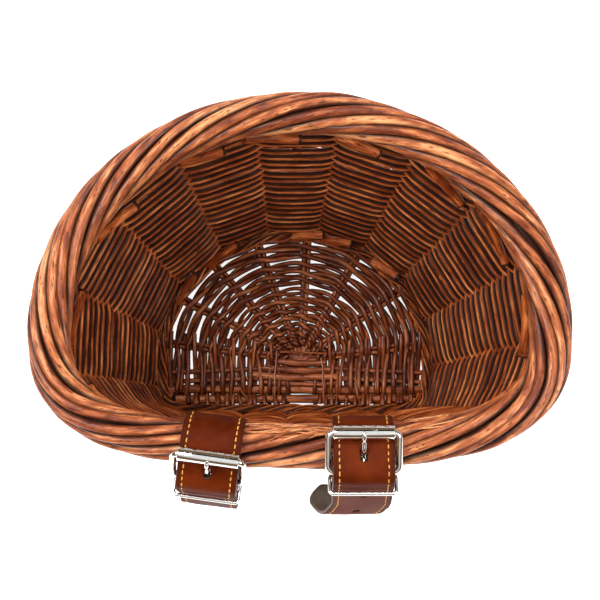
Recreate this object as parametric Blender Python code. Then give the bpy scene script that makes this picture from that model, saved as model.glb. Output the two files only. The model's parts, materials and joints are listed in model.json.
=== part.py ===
"""A wicker handlebar basket with two buckled leather straps, as separate solids.

The basket is D-shaped in plan: a round front and sides, and a nearly flat back that hangs against
the handlebar. Straight stakes lean outwards from the base to a twisted rope border. Wavy bands of
weave pass in front of one stake and behind the next. Each strap goes round the border, through the
slit under it, and on round the bar, and closes in a roller buckle on top.

Metres, +X to the rider's right, +Y away from the rider, +Z up.
"""
from math import atan2, ceil, cos, hypot, pi, radians, sin, sqrt

import bmesh
import bpy
import numpy as np
from mathutils import Vector

MM = 0.001
GAP = 0.35 * MM                     # air between neighbouring solids

# The basket's body
RIM_HEIGHT = 150 * MM               # height of the rope border's centre line
STAKE_RADIUS = 2.2 * MM
STAKE_TOP = 138.9 * MM
STAKE_FOOT = 1.0 * MM
WEAVE_THICKNESS = 2.6 * MM
WEAVE_TOP = 138.6 * MM
WEAVE_TOP_AT_STRAPS = 134.4 * MM    # leaves the slit that the straps pass through
BANDS = 6
COLUMNS_PER_BAY = 4
FRONT_STAKES = 12
STAKE_BUNCHING = 0.022              # the front stakes lean towards the rider's right
WEAVE_SWAY = 4.0 * MM               # how far a band passes in front of or behind a stake

# The rope border
BORDER_STRANDS = 10
STRAND_RADIUS = 2.2 * MM
STRAND_HELIX_RADIUS = 7.8 * MM
BORDER_TURNS = 3
BORDER_STEPS = 54

# The base
BASE_LEVEL = 6.8 * MM
BASE_HUB = (0.5 * MM, -16.5 * MM)
BASE_STICK_RADIUS = 2.2 * MM
BACK_STICK_Y = (-39.0 * MM, -33.8 * MM)
CENTRE_STICKS = ((-26.0 * MM, 17 * MM), (-21.4 * MM, 14 * MM), (-16.8 * MM, 9 * MM))   # y, half length
SPOKES = 8
SPOKE_FIRST_ANGLE = radians(7)
SPOKE_BUNCHING = radians(9)         # the spokes stand closer together on the left
SPOKE_START = 12 * MM
SPOKE_STAGGER = 4 * MM
BASE_WEAVES = 4
BASE_WEAVE_INNER = 22 * MM
BASE_WEAVE_OUTER = 65 * MM
BASE_WEAVE_THICKNESS = 2.2 * MM
BASE_WEAVE_SWAY = 3.7 * MM
BASE_LEG_END_Y = -42.8 * MM

# The straps
STRAP_WIDTH = 27 * MM
STRAP_THICKNESS = 2.2 * MM
STRAP_WRAP_RADIUS = 12.5 * MM       # the strap's middle line round the border
STRAP_BAY = 37 * MM                 # stake spacing where a strap passes between two stakes
BAR_LOOP_RADIUS = 12.75 * MM        # the strap's middle line round a 22.2 mm handlebar
SLIT_BEND_RADIUS = 3.0 * MM
SLIT_BEND_OUT = 2.5 * MM            # the bend's middle, behind the border's centre line
FREE_TAIL = 24 * MM                 # tail that still runs straight, past the heel bar
LONG_TAIL = 62 * MM
TIP_LENGTH = 11 * MM

# The buckles
WIRE_RADIUS = 1.5 * MM
ROLLER_RADIUS = 3.1 * MM
ROLLER_LENGTH = 27 * MM
ROLLER_PLAY = 0.4 * MM              # between the roller and the wire that it turns on
FRAME_WIDTH = 31.2 * MM             # between the middle lines of the frame's two sides
FRAME_CORNER = 3.0 * MM
ROLLER_DISTANCE = STRAP_WRAP_RADIUS + STRAP_THICKNESS / 2 + GAP + ROLLER_RADIUS
HEEL_DISTANCE = 15.2 * MM           # heel bar to the border's centre line
HEEL_ANGLE = radians(68)            # seen from the border's centre, between roller and heel bar
PRONG_RADIUS = 1.1 * MM
FOLD_RADIUS = WIRE_RADIUS + GAP + STRAP_THICKNESS / 2
TAIL_RADIUS = FOLD_RADIUS + STRAP_THICKNESS + GAP
HOLE_WIDTH = 4.4 * MM
KEEPER_RADIUS = 0.9 * MM
KEEPER_WIDTH = 29.4 * MM
KEEPER_DEPTH = 8.8 * MM
KEEPER_DROP = 6.2 * MM              # along the strap, below the heel bar
KEEPER_PLAY = 1.9 * MM              # between the keeper's back bar and the strap


class Outline:
    """A rounded D in plan: half an ellipse in front, a nearly straight back."""

    def __init__(self, half_width, front, back, squareness, centre):
        angle = np.linspace(-pi / 2, 3 * pi / 2, 1441)
        c, s = np.cos(angle), np.sin(angle)
        oval = np.hypot(c / half_width, s / front)
        straight = np.maximum(0.0, -s) / back
        reach = (oval ** squareness + straight ** squareness) ** (-1 / squareness)
        self.x = centre[0] + reach * c
        self.y = centre[1] + reach * s
        steps = np.hypot(np.diff(self.x), np.diff(self.y))
        self.length = steps.sum()
        self.fraction = np.concatenate([[0.0], np.cumsum(steps)]) / self.length

    def point(self, fraction):
        """The point at a fraction of the way round, anticlockwise from the middle of the back."""
        fraction = fraction % 1.0
        x = np.interp(fraction, self.fraction, self.x)
        y = np.interp(fraction, self.fraction, self.y)
        return Vector((float(x), float(y), 0.0))

    def half_chord(self, y, side):
        """How far the outline reaches at a given y, on the side +1 or -1."""
        on_side = np.where(self.x * side > 0, np.abs(self.y - y), np.inf)
        return float(self.x[int(np.argmin(on_side))])


RIM = Outline(113.9 * MM, 101.1 * MM, 54.2 * MM, 3.72, (0.1 * MM, -13.7 * MM))
FOOT = Outline(79.5 * MM, 77.0 * MM, 30.5 * MM, 10, (-3.2 * MM, -18.7 * MM))
FLOOR = Outline(72.6 * MM, 70.1 * MM, 24.2 * MM, 10, (-3.2 * MM, -18.7 * MM))

STRAPS = {
    "left": {"x": -39 * MM, "yaw": radians(-8), "roller": radians(20), "bar": (15.3 * MM, -36 * MM),
             "tail": 15 * MM, "drift": 0.0, "holes": ()},
    "right": {"x": 28 * MM, "yaw": 0.0, "roller": radians(-19.5), "bar": (15.4 * MM, -26 * MM),
              "tail": LONG_TAIL, "drift": -15 * MM, "holes": (12 * MM, 32 * MM)},
}
PALETTE = {
    "willow_border": ((0.36, 0.13, 0.045), 0.42, 0.0),
    "willow_wall": ((0.24, 0.07, 0.028), 0.42, 0.0),
    "willow_base": ((0.21, 0.06, 0.025), 0.45, 0.0),
    "leather": ((0.17, 0.042, 0.016), 0.45, 0.0),
    "nickel": ((0.78, 0.77, 0.74), 0.16, 1.0),
}


def wall_point(fraction, height):
    """A point of the wall's middle surface, which is ruled straight from the foot to the rim."""
    share = height / RIM_HEIGHT
    point = FOOT.point(fraction).lerp(RIM.point(fraction), share)
    point.z = height
    return point


def wall_outward(fraction, height):
    """The way out of the wall, level, from the wall's direction over a short stretch."""
    step = 0.004
    along = wall_point(fraction + step, height) - wall_point(fraction - step, height)
    return Vector((along.y, -along.x, 0.0)).normalized()


def stake_fractions():
    """Four stakes at the back leave a bay for each strap; the others share the rest."""
    back = []
    for strap in STRAPS.values():
        back += [strap["x"] - STRAP_BAY / 2, strap["x"] + STRAP_BAY / 2]
    back = [x / RIM.length for x in sorted(back)]
    start = back[-1]
    span = 1 + back[0] - start
    round_front = []
    for i in range(1, FRONT_STAKES + 1):
        share = i / (FRONT_STAKES + 1)
        round_front.append(start + share * span - STAKE_BUNCHING * sin(pi * share))
    return [start] + round_front + [1 + x for x in back[:-1]]


STAKES = stake_fractions()


def material(name):
    colour, roughness, metallic = PALETTE[name]
    mat = bpy.data.materials.get(name) or bpy.data.materials.new(name)
    mat.use_nodes = True
    shader = mat.node_tree.nodes["Principled BSDF"]
    shader.inputs["Base Color"].default_value = (*colour, 1.0)
    shader.inputs["Roughness"].default_value = roughness
    shader.inputs["Metallic"].default_value = metallic
    return mat


def add_object(name, bm, finish, parent, origin=(0, 0, 0)):
    """Make an object whose origin is at a point given in its parent's space."""
    bmesh.ops.recalc_face_normals(bm, faces=bm.faces)
    mesh = bpy.data.meshes.new(name)
    bm.to_mesh(mesh)
    bm.free()
    mesh.shade_smooth()
    mesh.set_sharp_from_angle(angle=radians(50))
    obj = bpy.data.objects.new(name, mesh)
    bpy.context.collection.objects.link(obj)
    obj.data.materials.append(material(finish))
    obj.parent = parent
    obj.location = origin
    return obj


def add_empty(name, parent, location):
    empty = bpy.data.objects.new(name, None)
    bpy.context.collection.objects.link(empty)
    empty.parent = parent
    empty.location = location
    return empty


def close_grid(bm, rings, closed):
    """Join rings of vertices along a sweep, and cap its ends unless it closes on itself."""
    count = len(rings)
    for i in range(count if closed else count - 1):
        ring, following = rings[i], rings[(i + 1) % count]
        size = len(ring)
        for j in range(size):
            k = (j + 1) % size
            bm.faces.new((ring[j], ring[k], following[k], following[j]))
    if not closed:
        bm.faces.new(rings[0])
        bm.faces.new(tuple(reversed(rings[-1])))


def sweep(points, ups, radius, sides, closed=False):
    """A round wire or stick along a line of points; ups keeps its section from twisting."""
    bm = bmesh.new()
    rings = []
    count = len(points)
    for i, point in enumerate(points):
        before = points[i - 1] if closed or i else points[0]
        after = points[(i + 1) % count] if closed or i < count - 1 else points[-1]
        along = (after - before).normalized()
        side = along.cross(ups[i]).normalized()
        up = side.cross(along)
        turns = [2 * pi * (j + 0.5) / sides for j in range(sides)]
        rings.append([bm.verts.new(point + (side * cos(a) + up * sin(a)) * radius) for a in turns])
    close_grid(bm, rings, closed)
    return bm


def rod(start, end, radius, sides=8):
    up = Vector((0, 0, 1)) if abs((end - start).normalized().z) < 0.9 else Vector((0, 1, 0))
    return sweep([start, end], [up, up], radius, sides)


def rounded_rectangle(width, depth, corner, steps=3):
    """Points of a rectangle with rounded corners, as pairs round its middle."""
    points = []
    for quarter in range(4):
        middle = quarter * pi / 2 + pi / 4
        cx = (width / 2 - corner) * (1 if cos(middle) > 0 else -1)
        cy = (depth / 2 - corner) * (1 if sin(middle) > 0 else -1)
        for i in range(steps + 1):
            angle = quarter * pi / 2 + i / steps * pi / 2
            points.append((cx + corner * cos(angle), cy + corner * sin(angle)))
    return points


# ---------------------------------------------------------------- the woven body

def column_fractions():
    """Where the bands' columns stand: evenly through each bay, with one at each stake."""
    columns = []
    for k, start in enumerate(STAKES):
        end = STAKES[k + 1] if k + 1 < len(STAKES) else STAKES[0] + 1
        for i in range(COLUMNS_PER_BAY):
            share = i / COLUMNS_PER_BAY
            columns.append((start + (end - start) * share, cos(pi * (k + share))))
    return columns


def weave_top(fraction):
    """The wall's upper edge, lower over the back where the straps need their slit."""
    x = ((fraction + 0.5) % 1 - 0.5) * RIM.length
    outermost = max(abs(strap["x"]) for strap in STRAPS.values()) + STRAP_BAY / 2
    return WEAVE_TOP_AT_STRAPS if abs(x) < outermost + 1 * MM else WEAVE_TOP


def build_band(index, root):
    height = WEAVE_TOP_AT_STRAPS / BANDS
    low = index * height + (GAP if index else 0)
    phase = 1 if index % 2 else -1
    bm = bmesh.new()
    rings = []
    for fraction, wave in column_fractions():
        high = (index + 1) * height if index < BANDS - 1 else weave_top(fraction)
        ring = []
        for z, side in ((low, 1), (high, 1), (high, -1), (low, -1)):
            shift = WEAVE_SWAY * wave * phase + side * WEAVE_THICKNESS / 2
            ring.append(bm.verts.new(wall_point(fraction, z) + wall_outward(fraction, z) * shift))
        rings.append(ring)
    close_grid(bm, rings, closed=True)
    add_object(f"wall_weave_{index + 1}", bm, "willow_wall", root)


def build_stakes(root):
    for k, fraction in enumerate(STAKES):
        foot, top = wall_point(fraction, STAKE_FOOT), wall_point(fraction, STAKE_TOP)
        bm = rod(Vector((0, 0, 0)), top - foot, STAKE_RADIUS)
        add_object(f"stake_{k + 1:02d}", bm, "willow_wall", root, foot)


def build_border(root):
    """Ten strands twisted together like a rope, each closing on itself after three turns."""
    for strand in range(BORDER_STRANDS):
        points, ups = [], []
        for step in range(BORDER_STEPS):
            fraction = step / BORDER_STEPS
            angle = 2 * pi * (strand / BORDER_STRANDS + BORDER_TURNS * fraction)
            out = wall_outward(fraction, RIM_HEIGHT) * cos(angle) + Vector((0, 0, sin(angle)))
            points.append(wall_point(fraction, RIM_HEIGHT) + out * STRAND_HELIX_RADIUS)
            ups.append(out)
        bm = sweep(points, ups, STRAND_RADIUS, 6, closed=True)
        add_object(f"border_strand_{strand + 1:02d}", bm, "willow_border", root)


# ---------------------------------------------------------------- the base

def spoke_angles():
    angles = []
    for k in range(SPOKES):
        share = k / (SPOKES - 1)
        even = SPOKE_FIRST_ANGLE + share * (pi - 2 * SPOKE_FIRST_ANGLE)
        angles.append(even + SPOKE_BUNCHING * sin(pi * share))
    return angles


def spoke_reach(angle):
    """From the hub out to the floor's edge in one direction."""
    dx, dy = FLOOR.x - BASE_HUB[0], FLOOR.y - BASE_HUB[1]
    off = np.abs(np.arctan2(dy, dx) - angle)
    nearest = int(np.argmin(off))
    return float(hypot(dx[nearest], dy[nearest]))


def build_base_sticks(root):
    for name, y in zip(("base_back_stick_1", "base_back_stick_2"), BACK_STICK_Y):
        left = Vector((FLOOR.half_chord(y, -1), y, BASE_LEVEL))
        right = Vector((FLOOR.half_chord(y, 1), y, BASE_LEVEL))
        bm = rod(Vector((0, 0, 0)), right - left, BASE_STICK_RADIUS)
        add_object(name, bm, "willow_base", root, left)
    for k, (y, half) in enumerate(CENTRE_STICKS):
        start = Vector((-half, y, BASE_LEVEL))
        bm = rod(Vector((0, 0, 0)), Vector((2 * half, 0, 0)), BASE_STICK_RADIUS - 0.1 * MM)
        add_object(f"base_centre_stick_{k + 1}", bm, "willow_base", root, start)
    for k, angle in enumerate(spoke_angles()):
        out = Vector((cos(angle), sin(angle), 0))
        inner = SPOKE_START + SPOKE_STAGGER * (k % 2)
        start = Vector((*BASE_HUB, BASE_LEVEL)) + out * inner
        bm = rod(Vector((0, 0, 0)), out * (spoke_reach(angle) - inner), BASE_STICK_RADIUS)
        add_object(f"base_spoke_{k + 1}", bm, "willow_base", root, start)


def arch_stations():
    """Stations round the front of an arch, as (place among the spokes, angle)."""
    angles = spoke_angles()
    steps = 4
    stations = []
    for k in range(SPOKES - 1):
        for i in range(steps):
            share = i / steps
            stations.append((k + share, angles[k] + share * (angles[k + 1] - angles[k])))
    return stations + [(SPOKES - 1, angles[-1])]


def leg_end(radius, side):
    """Where a leg of an arch stops, at the back or at the floor's rounded corner."""
    x = BASE_HUB[0] + side * radius
    y = BASE_LEG_END_Y
    while abs(x) > abs(FLOOR.half_chord(y, side)) and y < BASE_HUB[1]:
        y += 0.5 * MM
    return y


def arch_line(radius, ends):
    """The line of one arch: up the right leg, round the front and down the left leg.

    The right leg lies on the same side of the sticks as a spoke before the first one would,
    and the left leg as one after the last.
    """
    legs = []
    for side, place in ((1, -1), (-1, SPOKES)):
        x = BASE_HUB[0] + side * radius
        end = ends[side]
        shoulder = max(end + 2 * MM, BACK_STICK_Y[1] + 4 * MM)
        legs.append([(place, x, end), (place, x, shoulder)])
    front = []
    for place, angle in arch_stations():
        front.append((place, BASE_HUB[0] + radius * cos(angle), BASE_HUB[1] + radius * sin(angle)))
    return legs[0] + front + legs[1][::-1]


def build_base_weave(index, root):
    pitch = (BASE_WEAVE_OUTER - BASE_WEAVE_INNER) / BASE_WEAVES
    inner = BASE_WEAVE_INNER + index * pitch
    outer = inner + pitch - GAP
    ends = {side: leg_end(outer, side) for side in (1, -1)}
    phase = 1 if index % 2 else -1
    bm = bmesh.new()
    rings = []
    for (place, x1, y1), (_, x2, y2) in zip(arch_line(inner, ends), arch_line(outer, ends)):
        middle = BASE_LEVEL + phase * BASE_WEAVE_SWAY * cos(pi * place)
        low, high = middle - BASE_WEAVE_THICKNESS / 2, middle + BASE_WEAVE_THICKNESS / 2
        corners = ((x1, y1, low), (x2, y2, low), (x2, y2, high), (x1, y1, high))
        rings.append([bm.verts.new(corner) for corner in corners])
    close_grid(bm, rings, closed=False)
    add_object(f"base_weave_{index + 1}", bm, "willow_base", root)


# ---------------------------------------------------------------- strap routes

class Route:
    """A strap's middle line over round things, in the plane (outwards, up).

    Each turn is (centre, radius, sense), with sense +1 anticlockwise and -1 clockwise. The line runs
    straight between them, leaving and meeting each one smoothly.
    """

    def __init__(self, turns, first_heading, last_heading, lead_in, lead_out):
        self.pieces = []
        headings = [first_heading]
        for (c1, r1, s1), (c2, r2, s2) in zip(turns, turns[1:]):
            dx, dy = c2[0] - c1[0], c2[1] - c1[1]
            offset = s2 * r2 - s1 * r1
            straight = sqrt(dx * dx + dy * dy - offset * offset)
            headings.append(atan2(dy, dx) - atan2(offset, straight))
        headings.append(last_heading)
        self.add_line(self.on_turn(turns[0], first_heading), first_heading, lead_in, ends_there=True)
        for i, turn in enumerate(turns):
            start, end = headings[i], headings[i + 1]
            sweep_angle = (end - start) * turn[2] % (2 * pi)
            self.pieces.append(("turn", turn, start, sweep_angle, sweep_angle * turn[1]))
            if i + 1 < len(turns):
                a, b = self.on_turn(turn, end), self.on_turn(turns[i + 1], end)
                self.add_line(a, end, hypot(b[0] - a[0], b[1] - a[1]))
        self.add_line(self.on_turn(turns[-1], last_heading), last_heading, lead_out)
        self.length = sum(piece[-1] for piece in self.pieces)

    @staticmethod
    def on_turn(turn, heading):
        (cx, cy), radius, sense = turn
        return (cx + sense * radius * sin(heading), cy - sense * radius * cos(heading))

    def add_line(self, start, heading, length, ends_there=False):
        if ends_there:
            start = (start[0] - length * cos(heading), start[1] - length * sin(heading))
        self.pieces.append(("line", start, heading, 0.0, length))

    def at(self, distance):
        """The point and the heading at a distance along the line."""
        for kind, where, heading, _, length in self.pieces:
            if distance <= length or (kind, where) == self.pieces[-1][:2]:
                if kind == "line":
                    return (where[0] + distance * cos(heading), where[1] + distance * sin(heading)), heading
                angle = heading + where[2] * distance / where[1]
                return self.on_turn(where, angle), angle
            distance -= length

    def start_of(self, index):
        """The distance at which a piece starts; turns have odd indices, lines even ones."""
        return sum(piece[-1] for piece in self.pieces[:index])

    def stations(self, largest_turn, longest_run):
        """Distances dense enough for the turns, with the ends of every piece."""
        stops, start = [0.0], 0.0
        for kind, _, _, angle, length in self.pieces:
            if length > 1e-9:
                count = ceil(angle / largest_turn) if kind == "turn" else ceil(length / longest_run)
                count = max(1, count)
                stops += [start + length * (i + 1) / count for i in range(count)]
                start += length
        return stops


FOLD_END, TAIL_START = 2, 10        # pieces of a strap's route: below the fold, and past the heel bar
WRAP_END = 8                        # where the strap leaves the border


def polar(distance, angle):
    """A point round the border's centre; the angle runs from straight up towards outwards."""
    return (distance * sin(angle), distance * cos(angle))


def buckle_points(strap):
    """The roller's and the heel bar's middles, (outwards, up) from the border's centre."""
    roller = polar(ROLLER_DISTANCE, strap["roller"])
    heel = polar(HEEL_DISTANCE, strap["roller"] + HEEL_ANGLE)
    return roller, heel


def strap_route(strap):
    """From the fold round the heel bar, by way of handlebar, slit and border, to the free tail."""
    roller, heel = buckle_points(strap)
    frame_heading = atan2(roller[1] - heel[1], roller[0] - heel[0])
    bend = (SLIT_BEND_OUT, -STRAP_WRAP_RADIUS - SLIT_BEND_RADIUS)
    bar = strap["bar"]
    turns = [
        (heel, FOLD_RADIUS, -1),
        (bar, BAR_LOOP_RADIUS, -1),
        (bend, SLIT_BEND_RADIUS, 1),
        ((0.0, 0.0), STRAP_WRAP_RADIUS, -1),
        (heel, TAIL_RADIUS, -1),
        (bar, BAR_LOOP_RADIUS + STRAP_THICKNESS + GAP, -1),
    ]
    return Route(turns, frame_heading, radians(-200), 1.5 * MM, 0.0)


def strap_x(strap, past_tail):
    """The free end drifts sideways once it is well past the keeper."""
    share = max(0.0, past_tail - FREE_TAIL) / (LONG_TAIL - FREE_TAIL)
    return strap["drift"] * share ** 1.4


def half_width(left):
    """Half the strap's width with a given length left to its pointed tip."""
    if left >= TIP_LENGTH:
        return STRAP_WIDTH / 2
    share = 1 - left / TIP_LENGTH
    return STRAP_WIDTH / 2 * (1 - 0.72 * share ** 1.6)


def local(out, up, x=0.0):
    """From (outwards, up) at a strap to a point beside the border's centre line."""
    return Vector((x, -out, up))


def prong_route(strap):
    """Round the heel bar from below and along to the roller, curling a little over it."""
    roller, heel = buckle_points(strap)
    stem = atan2(roller[1] - heel[1], roller[0] - heel[0])
    turns = [(heel, FOLD_RADIUS, 1), (roller, ROLLER_RADIUS + GAP + PRONG_RADIUS, 1)]
    return Route(turns, stem - radians(285), stem + radians(24), 0.0, 0.0)


def prong_hole(strap, route):
    """The stretch of tail that the prong's stem passes through, with room to lift."""
    stem = prong_route(strap)
    start, end = stem.start_of(2), stem.start_of(3)
    line = [stem.at(start + (end - start) * i / 60)[0] for i in range(61)]
    reach = PRONG_RADIUS + STRAP_THICKNESS / 2 + 2 * GAP
    near = []
    steps = 200
    low, high = route.start_of(WRAP_END) - 6 * MM, route.start_of(TAIL_START)
    for i in range(steps):
        distance = low + (high - low) * i / steps
        (x, y), _ = route.at(distance)
        if min(hypot(x - a, y - b) for a, b in line) < reach:
            near.append(distance)
    room_to_lift = 1.6 * MM
    return min(near), max(near) + room_to_lift


def strap_holes(strap, route):
    """The open stretches down the strap's middle: the fold's slot, the prong's hole, the spare ones."""
    slot_end = route.start_of(FOLD_END) + 4.4 * MM
    holes = [(-1.0, slot_end), prong_hole(strap, route)]
    for offset in strap["holes"]:
        start = route.start_of(TAIL_START) + offset
        holes.append((start, start + 3.4 * MM))
    return holes


def strap_stations(strap, route, end, holes):
    stops = [s for s in route.stations(radians(20), 9 * MM) if s < end - 1 * MM] + [end]
    edges = [edge for hole in holes for edge in hole if edge > 0]
    edges += [end - TIP_LENGTH * share for share in (1.0, 0.66, 0.33)]
    kept = [s for s in stops if all(abs(s - edge) > 0.8 * MM for edge in edges)]
    return sorted(kept + edges)


def ribbon_faces(bm, stations, place, is_hole):
    """Close a ribbon three columns wide, leaving out the middle cells that are holes."""
    verts = {}

    def corner(i, j, top):
        if (i, j, top) not in verts:
            verts[(i, j, top)] = bm.verts.new(place(stations[i], j, top))
        return verts[(i, j, top)]

    def present(i, j):
        inside = 0 <= i < len(stations) - 1 and 0 <= j < 3
        return inside and not (j == 1 and is_hole(stations[i], stations[i + 1]))

    for i in range(len(stations) - 1):
        for j in range(3):
            if not present(i, j):
                continue
            cell = [(i, j), (i + 1, j), (i + 1, j + 1), (i, j + 1)]
            bm.faces.new([corner(a, b, True) for a, b in cell])
            bm.faces.new([corner(a, b, False) for a, b in reversed(cell)])
            beside = ((i, j - 1), (i + 1, j), (i, j + 1), (i - 1, j))
            for side, (ni, nj) in enumerate(beside):
                if not present(ni, nj):
                    a, b = cell[side], cell[(side + 1) % 4]
                    bm.faces.new((corner(*a, False), corner(*b, False), corner(*b, True), corner(*a, True)))


def build_strap(name, strap, parent):
    route = strap_route(strap)
    tail_start = route.start_of(TAIL_START)
    end = tail_start + strap["tail"]
    holes = strap_holes(strap, route)
    stations = strap_stations(strap, route, end, holes)

    def place(distance, column, top):
        (out, up), heading = route.at(distance)
        half = half_width(end - distance)
        x = (-half, -HOLE_WIDTH / 2, HOLE_WIDTH / 2, half)[column]
        shift = STRAP_THICKNESS / 2 * (1 if top else -1)
        x += strap_x(strap, distance - tail_start)
        return local(out - shift * sin(heading), up + shift * cos(heading), x)

    def is_hole(start, stop):
        middle = (start + stop) / 2
        return any(low < middle < high for low, high in holes)

    bm = bmesh.new()
    ribbon_faces(bm, stations, place, is_hole)
    add_object(f"{name}_strap", bm, "leather", parent)


def build_frame(name, strap, parent):
    """The buckle's wire frame: its front bar carries the roller, its heel bar the strap's fold."""
    roller, heel = (local(*point) for point in buckle_points(strap))
    middle = (roller + heel) / 2
    along = (roller - heel).normalized()
    across = Vector((1, 0, 0))
    normal = across.cross(along)
    outline = rounded_rectangle(FRAME_WIDTH, (roller - heel).length, FRAME_CORNER)
    points = [across * x + along * y for x, y in outline]
    bm = sweep(points, [normal] * len(points), WIRE_RADIUS, 8, closed=True)
    add_object(f"{name}_buckle_frame", bm, "nickel", parent, middle)


def build_roller(name, strap, parent):
    roller, _ = buckle_points(strap)
    bm = bmesh.new()
    sides = 16
    inner = WIRE_RADIUS + ROLLER_PLAY
    section = ((-1, inner), (-1, ROLLER_RADIUS), (1, ROLLER_RADIUS), (1, inner))
    rings = []
    for i in range(sides):
        angle = 2 * pi * i / sides
        c, s = cos(angle), sin(angle)
        ring = [(end * ROLLER_LENGTH / 2, radius * c, radius * s) for end, radius in section]
        rings.append([bm.verts.new(point) for point in ring])
    close_grid(bm, rings, closed=True)
    add_object(f"{name}_roller", bm, "nickel", parent, local(*roller))


def build_prong(name, strap, parent):
    _, heel = buckle_points(strap)
    route = prong_route(strap)
    points = []
    for distance in route.stations(radians(24), 20 * MM):
        (out, up), _ = route.at(distance)
        points.append(local(out - heel[0], up - heel[1]))
    ups = [Vector((1, 0, 0))] * len(points)
    bm = sweep(points, ups, PRONG_RADIUS, 8)
    add_object(f"{name}_prong", bm, "nickel", parent, local(*heel))


def keeper_axis(strap):
    """The middle of the keeper's back bar, and the way across the strap there."""
    route = strap_route(strap)
    (out, up), heading = route.at(route.start_of(FOLD_END) + KEEPER_DROP)
    behind = STRAP_THICKNESS / 2 + KEEPER_RADIUS + KEEPER_PLAY
    across = (-sin(heading), cos(heading))
    return (out - behind * across[0], up - behind * across[1]), across


def build_keeper(name, strap, parent):
    """A wire loop round both layers of strap; its back bar is the axis it tips about."""
    back, across = keeper_axis(strap)
    outline = rounded_rectangle(KEEPER_WIDTH, KEEPER_DEPTH, 1.8 * MM)
    points = []
    for x, y in outline:
        reach = y + KEEPER_DEPTH / 2
        points.append(local(across[0] * reach, across[1] * reach, x))
    normal = local(-across[1], across[0])
    bm = sweep(points, [normal] * len(points), KEEPER_RADIUS, 6, closed=True)
    add_object(f"{name}_keeper", bm, "nickel", parent, local(*back))


def build_strap_set(name, strap, root):
    """A strap with its buckle, on an empty that sits on the border's centre line."""
    centre = wall_point(strap["x"] / RIM.length, RIM_HEIGHT)
    axis = add_empty(f"{name}_strap_axis", root, Vector((strap["x"], centre.y, RIM_HEIGHT)))
    axis.rotation_euler.z = strap["yaw"]
    build_strap(name, strap, axis)
    build_frame(name, strap, axis)
    build_roller(name, strap, axis)
    build_prong(name, strap, axis)
    build_keeper(name, strap, axis)


def centre_on_origin(root):
    """Move everything so that the middle of the bounding box's bottom is the origin."""
    bpy.context.view_layer.update()
    corners = []
    for obj in bpy.context.scene.objects:
        if obj.type == "MESH":
            corners += [obj.matrix_world @ vertex.co for vertex in obj.data.vertices]
    points = np.array(corners)
    low, high = points.min(axis=0), points.max(axis=0)
    root.location = (-(low[0] + high[0]) / 2, -(low[1] + high[1]) / 2, -low[2])


def main():
    for obj in list(bpy.data.objects):
        bpy.data.objects.remove(obj, do_unlink=True)
    root = add_empty("basket", None, (0, 0, 0))
    build_stakes(root)
    for index in range(BANDS):
        build_band(index, root)
    build_base_sticks(root)
    for index in range(BASE_WEAVES):
        build_base_weave(index, root)
    build_border(root)
    for name, strap in STRAPS.items():
        build_strap_set(name, strap, root)
    centre_on_origin(root)


main()
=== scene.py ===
"""Looks for the wicker handlebar basket: willow rods, woven wall and base, leather straps, nickel buckles.

Metres, +X to the rider's right, +Y away from the rider, +Z up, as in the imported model.
"""
import json
from math import atan2, ceil, cos, hypot, pi, radians, sin, sqrt

import bpy
import numpy as np
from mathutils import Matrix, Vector


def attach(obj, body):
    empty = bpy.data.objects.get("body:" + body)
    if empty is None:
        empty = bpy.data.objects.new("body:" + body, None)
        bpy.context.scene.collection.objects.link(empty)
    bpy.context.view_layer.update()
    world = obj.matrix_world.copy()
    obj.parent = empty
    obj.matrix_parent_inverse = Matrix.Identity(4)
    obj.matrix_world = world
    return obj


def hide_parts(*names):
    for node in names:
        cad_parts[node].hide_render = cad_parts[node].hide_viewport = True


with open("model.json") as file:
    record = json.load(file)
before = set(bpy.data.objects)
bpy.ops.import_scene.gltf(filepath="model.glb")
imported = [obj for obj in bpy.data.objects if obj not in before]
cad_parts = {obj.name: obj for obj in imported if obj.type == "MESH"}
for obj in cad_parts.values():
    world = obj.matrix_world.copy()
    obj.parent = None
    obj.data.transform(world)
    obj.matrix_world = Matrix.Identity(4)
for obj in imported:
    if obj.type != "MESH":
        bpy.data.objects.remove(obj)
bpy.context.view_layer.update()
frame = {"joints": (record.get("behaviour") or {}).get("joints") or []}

MM = 0.001
RNG = np.random.default_rng(7)

# ---------------------------------------------------------------- camera

CAMERA_AIM = Vector((0.0, 0.0, 0.150))
CAMERA_DISTANCE = 0.550
CAMERA_ELEVATION = radians(83)
CAMERA_LENS = 72.6                  # mm, on a 36 mm sensor


def make_camera():
    data = bpy.data.cameras.new("camera")
    data.lens = CAMERA_LENS
    data.clip_start = 0.01
    data.clip_end = 20
    camera = bpy.data.objects.new("camera", data)
    bpy.context.scene.collection.objects.link(camera)
    back = Vector((0, -cos(CAMERA_ELEVATION), sin(CAMERA_ELEVATION)))
    camera.location = CAMERA_AIM + back * CAMERA_DISTANCE
    camera.rotation_mode = "QUATERNION"
    camera.rotation_quaternion = (-back).to_track_quat("-Z", "Y")
    bpy.context.scene.camera = camera


make_camera()

# ---------------------------------------------------------------- sizes, as in the model

RIM_HEIGHT = 150 * MM
WRAP_RADIUS = 12.5 * MM             # the straps' middle line round the border
STRAP_BAY = 37 * MM
BASE_LEVEL = 6.8 * MM
HUB = np.array((0.5 * MM, -16.5 * MM))
SPOKES = 8
FIRST_SPOKE = radians(7)
SPOKE_LEAN = radians(9)
STAKE_COUNT = 16
STAKE_RADIUS = 2.2 * MM
STAKE_LEAN = 0.022                  # of the way round: the front stakes stand a little to the right
UP = np.array((0, 0, 1.0))
PROBE = 0.004                       # of the way round, to find which way the wall faces

JOINT = {joint["name"]: np.array(joint["pos_m"]) for joint in frame["joints"] if "pos_m" in joint}


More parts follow.
